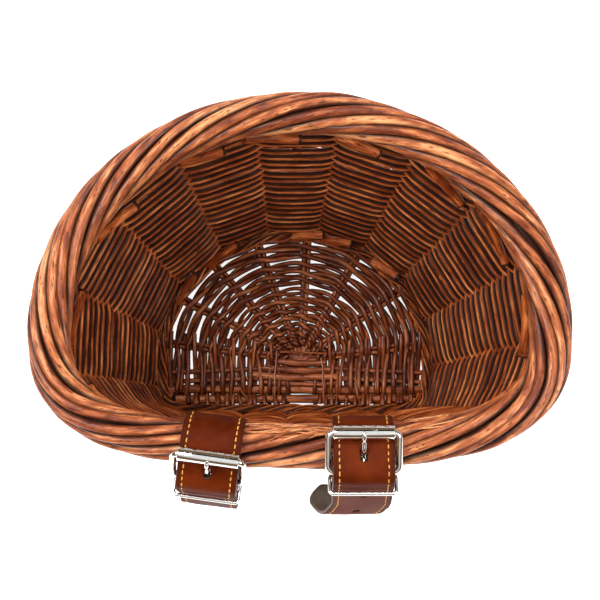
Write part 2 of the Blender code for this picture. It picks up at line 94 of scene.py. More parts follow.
class Outline:
    """A rounded D in plan: half an ellipse in front, a nearly straight back."""

    def __init__(self, half_width, front, back, squareness, centre):
        angle = np.linspace(-pi / 2, 3 * pi / 2, 2881)
        c, s = np.cos(angle), np.sin(angle)
        oval = np.hypot(c / half_width, s / front)
        straight = np.maximum(0.0, -s) / back
        reach = (oval ** squareness + straight ** squareness) ** (-1 / squareness)
        self.x = centre[0] + reach * c
        self.y = centre[1] + reach * s
        steps = np.hypot(np.diff(self.x), np.diff(self.y))
        self.length = steps.sum()
        self.fraction = np.concatenate([[0.0], np.cumsum(steps)]) / self.length

    def points(self, fraction):
        fraction = np.asarray(fraction) % 1.0
        x = np.interp(fraction, self.fraction, self.x)
        y = np.interp(fraction, self.fraction, self.y)
        return np.stack([x, y], axis=-1)

    def half_chord(self, y, side):
        off = np.where(self.x * side > 0, np.abs(self.y - y), np.inf)
        return float(self.x[int(np.argmin(off))])


RIM = Outline(113.9 * MM, 101.1 * MM, 54.2 * MM, 3.72, (0.0, -13.5 * MM))
FOOT = Outline(79.5 * MM, 77.0 * MM, 30.5 * MM, 10, (-3.3 * MM, -18.5 * MM))
FLOOR = Outline(72.6 * MM, 70.1 * MM, 24.2 * MM, 10, (-3.3 * MM, -18.5 * MM))


def wall_points(fraction, height):
    """Points of the wall's middle surface; fraction and height are arrays of one length."""
    fraction, height = np.broadcast_arrays(np.asarray(fraction, float), np.asarray(height, float))
    share = (height / RIM_HEIGHT)[..., None]
    plan = FOOT.points(fraction) * (1 - share) + RIM.points(fraction) * share
    return np.concatenate([plan, height[..., None]], axis=-1)


def unit(vectors):
    return vectors / np.linalg.norm(vectors, axis=-1, keepdims=True)


def wall_outward(fraction, height):
    fraction = np.asarray(fraction)
    along = wall_points(fraction + PROBE, height) - wall_points(fraction - PROBE, height)
    return unit(np.stack([along[..., 1], -along[..., 0], np.zeros(along.shape[:-1])], axis=-1))


def stake_fractions():
    """Four stakes at the back leave a bay for each strap; the others share the rest."""
    back = []
    for side in ("left", "right"):
        x = JOINT[side + "_strap_swing"][0]
        back += [x - STRAP_BAY / 2, x + STRAP_BAY / 2]
    back = [x / RIM.length for x in sorted(back)]
    start, span = back[-1], 1 + back[0] - back[-1]
    bays = STAKE_COUNT - len(back) + 1
    shares = np.arange(1, bays) / bays
    front = start + shares * span - STAKE_LEAN * np.sin(pi * shares)
    return np.array([start, *front, *(1 + x for x in back[:-1])])


STAKES = stake_fractions()


def spoke_angles():
    """The fan leans a little to the left."""
    share = np.arange(SPOKES) / (SPOKES - 1)
    return FIRST_SPOKE + share * (pi - 2 * FIRST_SPOKE) + SPOKE_LEAN * np.sin(pi * share)


# ---------------------------------------------------------------- mesh building

def smooth_mesh(name, verts, faces, sharp=50):
    """Smooth but for the edges where faces turn by more than sharp degrees."""
    mesh = bpy.data.meshes.new(name)
    mesh.from_pydata(np.asarray(verts).tolist(), [], faces)
    mesh.shade_smooth()
    mesh.set_sharp_from_angle(angle=radians(sharp))
    return mesh


def tube_faces(grid, closed=False):
    """Faces between rows of point numbers, and a cap at each end of an open tube."""
    rows, following = (grid, np.roll(grid, -1, axis=0)) if closed else (grid[:-1], grid[1:])
    quads = np.stack([rows, np.roll(rows, -1, 1), np.roll(following, -1, 1), following], axis=-1)
    caps = [] if closed else [grid[0][::-1].tolist(), grid[-1].tolist()]
    return quads.reshape(-1, 4).tolist() + caps


class Rods:
    """Collects round rods into one mesh, with what their material needs to know at each vertex."""

    def __init__(self):
        self.verts, self.faces, self.rod, self.tint, self.open = [], [], [], [], []
        self.count = 0

    def add(self, points, radii, ups=UP, sides=12, closed=False, tint=0.5, exposure=None):
        """ups is one vector or one for each point, and no rod runs along it.

        exposure(normals) says how open to the light each side is, from 0 to 1; the material paints shade on
        the sides where it is low.
        """
        points, ups = np.asarray(points, float), np.asarray(ups, float)
        n = len(points)
        radii = np.broadcast_to(np.asarray(radii, float), (n,))
        ahead, behind = np.roll(points, -1, axis=0), np.roll(points, 1, axis=0)
        if not closed:
            ahead[-1], behind[0] = points[-1], points[0]
        along = unit(ahead - behind)
        side = unit(np.cross(along, ups))
        up = np.cross(side, along)
        turn = 2 * pi * np.arange(sides) / sides
        c, s = np.cos(turn)[None, :, None], np.sin(turn)[None, :, None]
        normals = side[:, None, :] * c + up[:, None, :] * s
        verts = points[:, None, :] + normals * radii[:, None, None]
        distance = np.concatenate([[0.0], np.cumsum(np.linalg.norm(np.diff(points, axis=0), axis=1))])
        rod = np.stack(np.broadcast_arrays(distance[:, None], np.cos(turn), np.sin(turn)), axis=-1)
        open_sides = np.ones((n, sides)) if exposure is None else exposure(normals)
        tints = np.broadcast_to(np.asarray(tint, float).reshape(-1, 1), (n, sides))
        self.faces += tube_faces(self.count + np.arange(n * sides).reshape(n, sides), closed)
        self.verts.append(verts.reshape(-1, 3))
        self.rod.append(rod.reshape(-1, 3))
        self.tint.append(tints.reshape(-1))
        self.open.append(np.asarray(open_sides).reshape(-1))
        self.count += n * sides

    def build(self, name, material, body, replaced=(), slot=None):
        mesh = smooth_mesh(name, np.concatenate(self.verts), self.faces)
        for key, kind, values, field in (("rod", "FLOAT_VECTOR", self.rod, "vector"),
                                         ("tint", "FLOAT", self.tint, "value"),
                                         ("open", "FLOAT", self.open, "value")):
            attribute = mesh.attributes.new(key, kind, "POINT")
            attribute.data.foreach_set(field, np.concatenate(values).astype(np.float32).ravel())
        place(name, mesh, [material], body, replaced)


def place(name, mesh, materials, body, replaced=()):
    """Link a finished mesh, ride it on its body and hide the solids that it stands for."""
    obj = bpy.data.objects.new(name, mesh)
    bpy.context.scene.collection.objects.link(obj)
    for material in materials:
        obj.data.materials.append(material)
    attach(obj, body)
    if replaced:
        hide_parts(*replaced)


def wander(count, step, size, closed=False):
    """Smooth random numbers, one for each place along a rod, about zero."""
    knots = max(4, int(ceil(count / step)))
    values = RNG.normal(0, size, knots + 1)
    if closed:
        values[-1] = values[0]
    x = np.linspace(0, knots, count, endpoint=not closed)
    low = np.floor(x).astype(int) % knots
    t = x - np.floor(x)
    t = t * t * (3 - 2 * t)
    high = (low + 1) % knots if closed else np.minimum(low + 1, knots)
    return values[low] * (1 - t) + values[high] * t


def stray(line, step, size):
    """Moves a line's points a little, to either side and back and forth."""
    line[:, :2] += np.stack([wander(len(line), step, size) for _ in range(2)], axis=1)


def blend(pair, share):
    """Part of the way from the first of a pair to the second."""
    return pair[0] + share * (pair[1] - pair[0])


# ---------------------------------------------------------------- materials

def set_stops(ramp, stops):
    """stops are (position, colour) pairs; a colour may be a single grey value."""
    while len(ramp.elements) < len(stops):
        ramp.elements.new(1.0)
    for element, (position, colour) in zip(ramp.elements, stops):
        element.position = position
        element.color = (colour,) * 3 + (1.0,) if isinstance(colour, (int, float)) else (*colour, 1.0)


class Nodes:
    """A short way to write shader nodes."""

    def __init__(self, name):
        self.material = bpy.data.materials.new(name)
        self.material.use_nodes = True
        self.tree = self.material.node_tree
        self.shader = self.tree.nodes["Principled BSDF"]

    def add(self, kind, inputs=None, **settings):
        node = self.tree.nodes.new(kind)
        for key, value in settings.items():
            setattr(node, key, value)
        for key, value in (inputs or {}).items():
            self.feed(node.inputs[key], value)
        return node

    def feed(self, socket, value):
        if isinstance(value, bpy.types.NodeSocket):
            self.tree.links.new(value, socket)
        else:
            socket.default_value = value

    def where(self):
        """Places on the object, in metres."""
        return self.add("ShaderNodeTexCoord").outputs["Object"]

    def attribute(self, name, output="Fac"):
        return self.add("ShaderNodeAttribute", attribute_name=name).outputs[output]

    def math(self, operation, a, b, c=0.5):
        return self.add("ShaderNodeMath", {0: a, 1: b, 2: c}, operation=operation).outputs[0]

    def times(self, a, b):
        return self.math("MULTIPLY", a, b)

    def times_add(self, a, b, c):
        return self.math("MULTIPLY_ADD", a, b, c)

    def average(self, a, b):
        return self.times_add(a, 0.5, self.times(b, 0.5))

    def vector(self, operation, a, b):
        return self.add("ShaderNodeVectorMath", {0: a, 1: b}, operation=operation).outputs[0]

    def noise(self, vector, detail, roughness, scale=1.0):
        values = {"Vector": vector, "Scale": scale, "Detail": detail, "Roughness": roughness}
        return self.add("ShaderNodeTexNoise", values).outputs["Fac"]

    def cells(self, vector, scale=1.0, feature="F1"):
        values = {"Vector": vector, "Scale": scale}
        return self.add("ShaderNodeTexVoronoi", values, feature=feature).outputs["Distance"]

    def ramp(self, factor, *stops):
        node = self.add("ShaderNodeValToRGB", {0: factor})
        set_stops(node.color_ramp, stops)
        return node.outputs["Color"]

    def mix(self, factor, a, b):
        """b is a plain colour."""
        node = self.add("ShaderNodeMix", {0: factor}, data_type="RGBA")
        self.feed(node.inputs[6], a)
        self.feed(node.inputs[7], (*b, 1.0))
        return node.outputs[2]

    def bump(self, height, strength, distance):
        values = {"Height": height, "Strength": strength, "Distance": distance}
        return self.add("ShaderNodeBump", values).outputs["Normal"]

    def surface(self, **values):
        for key, value in values.items():
            self.feed(self.shader.inputs[key.replace("_", " ")], value)
        return self.material


def willow(name, dark, middle, light, deep, coat, gloss):
    """Stained and varnished willow: streaks along the rod, mottling, knots, pits, and painted shade in the
    hollows.
    """
    n = Nodes(name)
    rod, tint, exposure = n.attribute("rod", "Vector"), n.attribute("tint"), n.attribute("open")
    shift = n.add("ShaderNodeCombineXYZ", {0: n.times(tint, 37.0), 1: 0.0, 2: 0.0}).outputs[0]

    def along(lengthwise, around):
        return n.vector("ADD", n.vector("MULTIPLY", rod, (lengthwise, around, around)), shift)

    def spots(scales, size, depth, patch_scales, sparseness):
        """Dark spots of one kind, in some stretches of the rod only."""
        shape = n.ramp(n.cells(along(*scales)), (0.0, 1.0), (size, depth), (size + 0.10, 0.0))
        patch = n.noise(along(*patch_scales), 1.0, 0.5)
        return n.times(shape, n.ramp(patch, (sparseness, 0.0), (sparseness + 0.06, 1.0)))

    streaks = n.noise(along(85.0, 4.4), 6.0, 0.68)
    fine = n.noise(along(90.0, 9.0), 2.0, 0.5)
    patches = n.noise(along(75.0, 0.8), 3.0, 0.6)
    tone = n.times_add(tint, 0.16, n.times_add(streaks, 0.42, n.times(patches, 0.73)))
    colour = n.ramp(tone, (0.52, dark), (0.67, middle), (0.84, light))
    knots = spots((80.0, 1.1), 0.14, 0.9, (48.0, 0.6), 0.50)
    pits = spots((260.0, 2.4), 0.19, 0.85, (110.0, 1.0), 0.47)
    marks = n.math("MAXIMUM", knots, pits)
    # Painted shade: the less open a side is to the light, the more its colour goes to deep, as in the hollows
    # between rods. Knots and pits are real marks.
    painted_shade = n.ramp(exposure, (0.0, 1.0), (0.55, 1.0), (0.71, 0.84), (0.84, 0.28), (0.95, 0.0))
    marks_and_painted_shade = n.math("MAXIMUM", n.times(marks, 0.88), n.times(painted_shade, 0.93))
    height = n.times_add(streaks, 0.7, n.times_add(fine, 0.30, n.times(marks, -0.6)))
    rough = n.times_add(painted_shade, 0.35, n.times_add(fine, 0.22, 0.27))
    return n.surface(Base_Color=n.mix(marks_and_painted_shade, colour, deep), Roughness=rough,
                     Normal=n.bump(height, 0.75, 0.45 * MM), Coat_Weight=coat, Coat_Roughness=0.20,
                     Specular_IOR_Level=gloss)


BORDER_WILLOW = willow("border_willow", (0.13, 0.023, 0.006), (0.38, 0.100, 0.029), (0.80, 0.36, 0.150),
                       (0.010, 0.0018, 0.0007), 0.20, 0.16)
WALL_WILLOW = willow("wall_willow", (0.135, 0.021, 0.0033), (0.35, 0.072, 0.0135), (0.72, 0.25, 0.078),
                     (0.005, 0.0008, 0.0003), 0.08, 0.09)
BASE_WILLOW = willow("base_willow", (0.062, 0.009, 0.0016), (0.17, 0.031, 0.0060), (0.44, 0.135, 0.042),
                     (0.003, 0.0005, 0.0002), 0.20, 0.14)


def leather():
    n = Nodes("leather")
    where = n.where()
    pebble = n.ramp(n.cells(where, 1500.0, "DISTANCE_TO_EDGE"), (0.0, 0.0), (0.25, 1.0))
    soft = n.noise(where, 4.0, 0.6, 90.0)
    broad = n.noise(where, 2.0, 0.5, 28.0)
    colour = n.ramp(n.average(soft, broad), (0.34, (0.052, 0.0060, 0.0004)), (0.5, (0.088, 0.0115, 0.0008)),
                    (0.68, (0.128, 0.0200, 0.0018)))
    rim = n.ramp(n.attribute("from_edge"), (0.0, 0.75), (0.0012, 0.30), (0.0024, 0.0))
    height = n.times_add(pebble, 0.4, n.times(soft, 0.6))
    return n.surface(Base_Color=n.mix(rim, colour, (0.035, 0.006, 0.002)),
                     Roughness=n.times_add(soft, 0.22, 0.40), Normal=n.bump(height, 0.35, 0.12 * MM),
                     Specular_IOR_Level=0.045)


def suede():
    n = Nodes("suede_backing")
    where = n.where()
    nap = n.noise(where, 4.0, 0.7, 900.0)
    tone = n.average(nap, n.noise(where, 3.0, 0.5, 60.0))
    colour = n.ramp(tone, (0.3, (0.075, 0.055, 0.040)), (0.7, (0.19, 0.15, 0.115)))
    return n.surface(Base_Color=colour, Roughness=0.92, Normal=n.bump(nap, 0.7, 0.2 * MM),
                     Specular_IOR_Level=0.2)


def edge_paint():
    n = Nodes("strap_edge")
    rub = n.noise(n.where(), 3.0, 0.6, 400.0)
    colour = n.ramp(rub, (0.35, (0.035, 0.008, 0.004)), (0.7, (0.11, 0.028, 0.012)))
    return n.surface(Base_Color=colour, Roughness=0.5, Normal=n.bump(rub, 0.4, 0.1 * MM))


def thread():
    n = Nodes("waxed_thread")
    ply = n.add("ShaderNodeTexWave", {"Vector": n.where(), "Scale": 900.0, "Distortion": 2.0},
                bands_direction="DIAGONAL").outputs["Fac"]
    colour = n.ramp(ply, (0.1, (0.42, 0.16, 0.018)), (0.8, (0.80, 0.40, 0.07)))
    return n.surface(Base_Color=colour, Roughness=0.6, Normal=n.bump(ply, 0.5, 0.1 * MM))


def nickel():
    n = Nodes("nickel_plate")
    where = n.where()
    haze = n.noise(where, 4.0, 0.6, 260.0)
    scuff = n.noise(n.vector("MULTIPLY", where, (1.0, 9.0, 9.0)), 2.0, 0.5, 700.0)
    colour = n.ramp(haze, (0.3, 0.72), (0.7, (0.80, 0.788, 0.76)))
    rough = n.times_add(haze, 0.06, n.times_add(scuff, 0.04, 0.03))
    return n.surface(Base_Color=colour, Roughness=rough, Metallic=1.0, Normal=n.bump(scuff, 0.08, 0.05 * MM))


LEATHER, SUEDE, EDGE, THREAD, NICKEL = leather(), suede(), edge_paint(), thread(), nickel()

# ---------------------------------------------------------------- rope border

STRANDS = 10                        # rods that lie side by side
BORDER_RODS = 30
BORDER_TURNS = 3
HELIX_RADIUS = 7.50 * MM
CORE_RADIUS = 5.7 * MM
ROD_STEPS = 64
ROD_SPAN = 1.06 / BORDER_TURNS      # of the way round: each rod makes one turn and laps the next
BORDER_START = radians(228)         # on the inside, below: where a rod comes in and another ends
ROD_RADIUS = (2.28 * MM, 2.60 * MM)
ROD_TAPER = np.linspace(1.04, 0.88, ROD_STEPS)
ROD_DRIFT = 0.3 * MM                # the furthest that a rod strays from its helix


def in_shade(normals):
    return np.zeros(normals.shape[:2])


def round_border(fraction, angle, reach):
    """Points round the border's middle line, and which way they lie from it."""
    level = np.full(len(fraction), RIM_HEIGHT)
    radial = wall_outward(fraction, level) * np.cos(angle)[:, None] + UP * np.sin(angle)[:, None]
    return wall_points(fraction, level) + radial * reach[:, None], radial


def border_rod(index):
    """One rod's line, clockwise seen from above: up the inside, over the top and down the outside."""
    start = (index + RNG.uniform(-0.12, 0.12)) / BORDER_RODS
    turned = wander(ROD_STEPS, 10, radians(2.2))
    drift = np.clip(wander(ROD_STEPS, 10, 0.25 * MM), -ROD_DRIFT, ROD_DRIFT)
    back = np.linspace(0, ROD_SPAN, ROD_STEPS)
    angle = BORDER_START - 2 * pi * BORDER_TURNS * back + turned
    return round_border(start - back, angle, HELIX_RADIUS + drift)


def build_border():
    for strand in range(STRANDS):
        rods = Rods()
        for index in range(strand, BORDER_RODS, STRANDS):
            line, radial = border_rod(index)
            radii = RNG.uniform(*ROD_RADIUS) * ROD_TAPER + wander(ROD_STEPS, 5, 0.07 * MM)
            radii[-6:] *= np.linspace(1, 0.55, 6)

            # Painted shade: the sides that face the border's middle line, between the rods, are darkened.
            def exposure(normals, radial=radial):
                return 0.5 + 0.5 * np.einsum("nsk,nk->ns", normals, radial)

            rods.add(line, radii, radial, tint=RNG.uniform(0, 1), exposure=exposure)
        name = f"border_strand_{strand + 1:02d}"
        rods.build(f"border_rods_{strand + 1:02d}", BORDER_WILLOW, "basket", [name], "willow_border")


def build_border_core():
    """What the rods are wound round: painted all in shade, and only glimpsed between them."""
    fraction = np.linspace(0, 1, 360, endpoint=False)
    core = Rods()
    core.add(wall_points(fraction, RIM_HEIGHT), CORE_RADIUS, sides=16, closed=True, exposure=in_shade)
    core.build("border_core", BORDER_WILLOW, "basket", slot="willow_border")


FRAYED = ((-0.042, 0.018, 26), (0.072, 0.090, 8), (0.945, 0.962, 7))    # from, to, how many
FIBRE_STEPS = 14
FIBRE_LENGTH = (9, 26)              # mm
FIBRE_ANGLE = (118, 172)            # degrees round the border from the outside: on top, towards the inside
FIBRE_LEAN = radians(16)
FIBRE_RADIUS = (0.28, 0.62)         # mm
FIBRE_LIFT = 2.55                   # mm over the rods' middle lines


def build_frayed_fibres():
    """Splinters and thin peelings that lie on top of the border near the straps."""
    fibres = Rods()
    share = np.linspace(0, 1, FIBRE_STEPS)
    taper = np.interp(share, (0, 0.2, 0.8, 1), (0.3, 1, 1, 0.2))
    for start, end, count in FRAYED:
        for _ in range(count):
            length = RNG.uniform(*FIBRE_LENGTH) * MM / RIM.length
            fraction = RNG.uniform(start, end) + length * share
            lean = RNG.uniform(-1, 1) * FIBRE_LEAN
            angle = radians(RNG.uniform(*FIBRE_ANGLE)) + lean * (2 * share - 1)
            reach = HELIX_RADIUS + (FIBRE_LIFT + 0.25 * np.abs(wander(FIBRE_STEPS, 4, 1.0))) * MM
            line, radial = round_border(fraction, angle, reach)
            radii = RNG.uniform(*FIBRE_RADIUS) * MM * taper
            fibres.add(line, radii, radial, 6, tint=RNG.uniform(0.3, 1.6))
    fibres.build("border_fibres", BORDER_WILLOW, "basket", slot="willow_border")


# Butt ends: how far round the wall they lie, the height of their hidden end, and the other's rise.
RIM_STUBS = ((0.055, 0.125, 0.205, 0.285, 0.345, 0.425, 0.500, 0.565, 0.655, 0.735, 0.820), 143.5 * MM, -1.0)
FOOT_STUBS = ((0.355, 0.415, 0.465, 0.570, 0.640), 9.5 * MM, 0.5)
STUB_STEPS = 18


def build_stubs():
    """Rods' butt ends with dark cuts, against the inside of the wall under the border and at the foot."""
    stubs = Rods()
    share = np.linspace(0, 1, STUB_STEPS)
    for places, level, rise in (RIM_STUBS, FOOT_STUBS):
        for place_at in places:
            length = RNG.uniform(22, 32) * MM / RIM.length
            fraction = place_at + RNG.uniform(-0.01, 0.01) + length * (1 - share)
            height = level + RNG.uniform(8.5, 12.5) * MM * share ** 0.8 * rise
            inward = (6.6 - 0.9 * share) * MM
            line = wall_points(fraction, height) - wall_outward(fraction, height) * inward[:, None]
            radii = RNG.uniform(2.0, 2.4) * MM * (1 + wander(STUB_STEPS, 4, 0.04))
            stubs.add(line, radii, tint=RNG.uniform(0, 1))
            along = unit(line[-1] - line[-2])
            cut = np.array([line[-1] + along * depth * MM for depth in (-1.2, 0.1)])
            stubs.add(cut, radii[-1] * 1.03, exposure=in_shade)
    stubs.build("border_stubs", WALL_WILLOW, "basket", slot="willow_wall")


# ---------------------------------------------------------------- wall

BANDS = 6
ROWS = 39
TOP_ROWS = 3
ROW_PITCH = 134.4 * MM / ROWS
ROW_RADIUS = 1.72 * MM
LOWEST_ROW = 2.05 * MM
INNER_SWAY = (1.55 * MM, 1.35 * MM)     # where rows cross, and how much more in front of a stake
OUTER_SWAY = (1.60 * MM, 1.50 * MM)
SWAY_SHARPNESS = 3.4                # the larger, the straighter the rows run between stakes
STEPS_PER_BAY = 14


def row_line(height, phase):
    """One row, in front of every other stake and behind the rest."""
    ends = np.append(STAKES, STAKES[0] + 1)
    bay = np.arange(STAKE_COUNT * STEPS_PER_BAY) / STEPS_PER_BAY
    fraction = np.interp(bay, np.arange(STAKE_COUNT + 1), ends)
    wave = np.cos(pi * bay) * phase
    count = len(fraction)
    heights = np.maximum(height + wander(count, 14, 0.30 * MM, closed=True), LOWEST_ROW)
    inner = INNER_SWAY[0] + INNER_SWAY[1] * np.abs(wave)
    outer = OUTER_SWAY[0] + OUTER_SWAY[1] * np.abs(wave)
    square = np.tanh(SWAY_SHARPNESS * wave) / np.tanh(SWAY_SHARPNESS)
    sway = square * np.where(wave > 0, outer, inner) + wander(count, 9, 0.15 * MM, closed=True)
    return wall_points(fraction, heights) + wall_outward(fraction, heights) * sway[:, None]


def side_exposure(normals):
    """Rows lie against each other above and below; the material paints those sides in shade."""
    return 1.0 - 0.92 * np.abs(normals[..., 2]) ** 11


def build_wall():
    for band in range(BANDS):
        rods = Rods()
        for row in range(round(band * ROWS / BANDS), round((band + 1) * ROWS / BANDS)):
            line = row_line((row + 0.5) * ROW_PITCH, 1 if row % 2 else -1)
            count = len(line)
            radii = ROW_RADIUS * (1 + np.clip(wander(count, 16, 0.09, closed=True), -0.18, 0.18))
            changes = np.sort(RNG.choice(count, 3, replace=False))      # where the next rod begins
            tints = RNG.uniform(0, 1, 4)
            tint = tints[np.searchsorted(changes, np.arange(count)) % 3]
            rods.add(line, radii, sides=8, closed=True, tint=tint, exposure=side_exposure)
        rods.build(f"wall_rows_{band + 1}", WALL_WILLOW, "basket", [f"wall_weave_{band + 1}"], "willow_wall")


def build_top_rows():
    """More rows close the gap under the border, except over the straps' slit."""
    rods = Rods()
    first = STEPS_PER_BAY               # from the stake to the right of the straps
    last = STEPS_PER_BAY * (STAKE_COUNT - 3)
    for row in range(ROWS, ROWS + TOP_ROWS):
        height = (ROWS + 0.45 + 0.75 * (row - ROWS)) * ROW_PITCH
        line = row_line(height, 1 if row % 2 else -1)[first:last]
        radii = ROW_RADIUS * (1 + wander(len(line), 16, 0.09))
        rods.add(line, radii, sides=8, tint=RNG.uniform(0, 1), exposure=side_exposure)
    rods.build("wall_top_rows", WALL_WILLOW, "basket", slot="willow_wall")


def build_stakes():
    rods = Rods()
    heights = np.linspace(1 * MM, 141 * MM, 24)
    count = len(heights)
    for fraction in STAKES:
        line = wall_points(fraction, heights)
        stray(line, 8, 0.15 * MM)
        out = wall_outward(np.full(count, fraction), heights)
        rods.add(line, STAKE_RADIUS * (1 + wander(count, 6, 0.04)), out, tint=RNG.uniform(0.2, 0.9))
    names = [f"stake_{k + 1:02d}" for k in range(STAKE_COUNT)]
    rods.build("wall_stakes", WALL_WILLOW, "basket", names, "willow_wall")


# ---------------------------------------------------------------- base

ARCHES = 13
ARCH_BANDS = 4
ARCH_REACH = (9.0 * MM, 69.5 * MM)      # of the innermost and the outermost, and so below
ARCH_RADIUS = (1.26 * MM, 1.50 * MM)
PAIR_OFFSET = (1.18 * MM, 1.45 * MM)
ARCH_SWAY = 2.6 * MM
STEPS_PER_SPOKE = 10
BACK_EDGE = -43.0 * MM
STICKS = (-39.0 * MM, -33.7 * MM)   # the two long sticks along the back of the base
STICK_RADIUS = 2.62 * MM
SPOKE_RADIUS = 1.35 * MM
# Short sticks at the middle of the back, in mm: how far back, their left and right ends, and their radius.
CENTRE_STICKS = ((-29.6, -22.0, 24.0, 1.5), (-26.0, -27.0, 21.0, 2.3), (-22.0, -20.0, 17.0, 2.2),
                 (-18.0, -15.0, 14.0, 1.9))
SIDE_STICKS = ((-21.5, -24.5), (-27.0, -29.5))      # mm back, at their inner and outer ends


def spoke_reach(angle):
    dx, dy = FLOOR.x - HUB[0], FLOOR.y - HUB[1]
    nearest = int(np.argmin(np.abs(np.arctan2(dy, dx) - angle)))
    return float(hypot(dx[nearest], dy[nearest]))


FLOOR_REACH = spoke_reach(pi / 2)


def arch_reach(share, angles):
    """How far from the hub an arch runs: round near the hub, like the floor's outline further out."""
    radius = blend(ARCH_REACH, share)
    outline = np.array([spoke_reach(angle) for angle in np.atleast_1d(angles)]) * radius / FLOOR_REACH
    return radius * (1 - share ** 2) + outline * share ** 2


def leg_end(x, side, end):
    """How far back a leg runs before it meets the foot's outline."""
    while abs(x) > abs(FLOOR.half_chord(end, side)) and end < HUB[1]:
        end += 0.5 * MM
    return end


def arch_line(share, phase):
    """One of a pair of weavers: down a leg, round the spokes and down the other leg."""
    pair_offset = blend(PAIR_OFFSET, share)
    places = np.arange(STEPS_PER_SPOKE * (SPOKES - 1) + 1) / STEPS_PER_SPOKE
    turn = np.interp(places, np.arange(SPOKES), spoke_angles())
    swap = np.sin(pi * places)
    r = arch_reach(share, turn) + phase * pair_offset * np.sign(swap) * np.abs(swap) ** 0.6
    level = BASE_LEVEL + phase * ARCH_SWAY * np.cos(pi * places)
    points = np.stack([HUB[0] + r * np.cos(turn), HUB[1] + r * np.sin(turn), level], axis=1)
    beside = phase * pair_offset * np.array((0.6, 0.8, 1, 1, 1, 1, 0.8, 0.5, 0.2))
    count = len(beside)
    marks = (STICKS[0], sum(STICKS) / 2, STICKS[1], HUB[1])
    legs = []
    for side, first in ((1, points[0]), (-1, points[-1])):
        lean = RNG.normal(0, 0.9) * MM
        end = leg_end(first[0], side, BACK_EDGE - 0.5 * MM)
        ys = np.linspace(end, max(first[1] - 4 * MM, end + 1 * MM), count)
        xs = first[0] + lean * np.linspace(1, 0, count) + beside
        crossed = np.interp(ys, marks, (-1, 0.2, 1, 0.2)) * -side
        legs.append(np.stack([xs, ys, BASE_LEVEL + phase * (ARCH_SWAY + 0.7 * MM) * crossed], axis=1))
    return np.concatenate([legs[0], points, legs[1][::-1]])


def filler_line(share, side, phase):
    """A short weaver between two arches' legs, from the back edge to a little past the first spoke."""
    count = 16
    reach = arch_reach(share, FIRST_SPOKE if side > 0 else pi - FIRST_SPOKE)[0]
    x = HUB[0] + side * (reach * cos(FIRST_SPOKE) + RNG.normal(0, 0.4) * MM)
    first_spoke = HUB[1] + abs(x - HUB[0]) * np.tan(spoke_angles()[0])
    ys = np.linspace(leg_end(x, side, BACK_EDGE), first_spoke + 7 * MM, count)
    xs = x + RNG.normal(0, 0.9) * MM * np.linspace(1, -0.3, count)
    crossed = np.interp(ys, (*STICKS, first_spoke), (-1, 1, -1))
    return np.stack([xs, ys, BASE_LEVEL + phase * (ARCH_SWAY + 0.6 * MM) * crossed], axis=1)


def top_exposure(normals):
    """Rods of the base are painted bright on top and in shade down their sides."""
    return 0.42 + 0.58 * normals[..., 2]


def build_sticks():
    sticks = Rods()

    def stick(start, end, radius, tint, bend=(0.0, 0.0), steps=14):
        """bend is how far the middle lies forward and up."""
        share = np.linspace(0, 1, steps)
        bow = np.sin(pi * share)
        line = np.outer(1 - share, start) + np.outer(share, end)
        line[:, 2] += bend[1] * bow + wander(steps, 5, 0.1 * MM)
        line[:, 1] += bend[0] * bow + wander(steps, 5, 0.12 * MM)
        sticks.add(line, radius * (1 + wander(steps, 4, 0.05)), tint=tint, exposure=top_exposure)

    for y in STICKS:
        ends = [(FLOOR.half_chord(y, side) + side * 3 * MM, y, BASE_LEVEL) for side in (-1, 1)]
        stick(*ends, STICK_RADIUS, RNG.uniform(0.7, 1.0), steps=30)
    for y, left, right, radius in CENTRE_STICKS:
        start = (left * MM, (y + 0.6) * MM, BASE_LEVEL + 0.4 * MM)
        end = (right * MM, (y - 0.6) * MM, BASE_LEVEL + 1.1 * MM)
        stick(start, end, radius * MM, RNG.uniform(0.7, 1.0), (-1.0 * MM, 1.4 * MM))
    for side in (-1, 1):
        for inner, outer in SIDE_STICKS:
            start = (side * 16 * MM, inner * MM, BASE_LEVEL + 0.3 * MM)
            end = (FLOOR.half_chord(outer * MM, side) + side * 2 * MM, outer * MM, BASE_LEVEL)
            stick(start, end, 1.45 * MM, RNG.uniform(0.3, 0.9))
    left_edge = [(x * MM, y * MM, BASE_LEVEL + 1 * MM) for x, y in ((-72.6, -40), (-75.0, -11))]
    stick(*left_edge, 1.6 * MM, 0.5)
    for angle in spoke_angles():
        direction = np.array((cos(angle), sin(angle)))
        across = np.array((-sin(angle), cos(angle)))
        for side in (-1, 1):
            start = HUB - direction * 3.5 * MM + across * side * 0.9 * MM
            end = HUB + direction * (spoke_reach(angle) + 2 * MM) + across * side * SPOKE_RADIUS
            stick((*start, BASE_LEVEL), (*end, BASE_LEVEL), SPOKE_RADIUS, RNG.uniform(0.3, 0.9))
    replaced = ["base_back_stick_1", "base_back_stick_2"]
    replaced += [f"base_centre_stick_{k}" for k in (1, 2, 3)] + [f"base_spoke_{k + 1}" for k in range(SPOKES)]
    sticks.build("base_sticks", BASE_WILLOW, "basket", replaced, "willow_base")


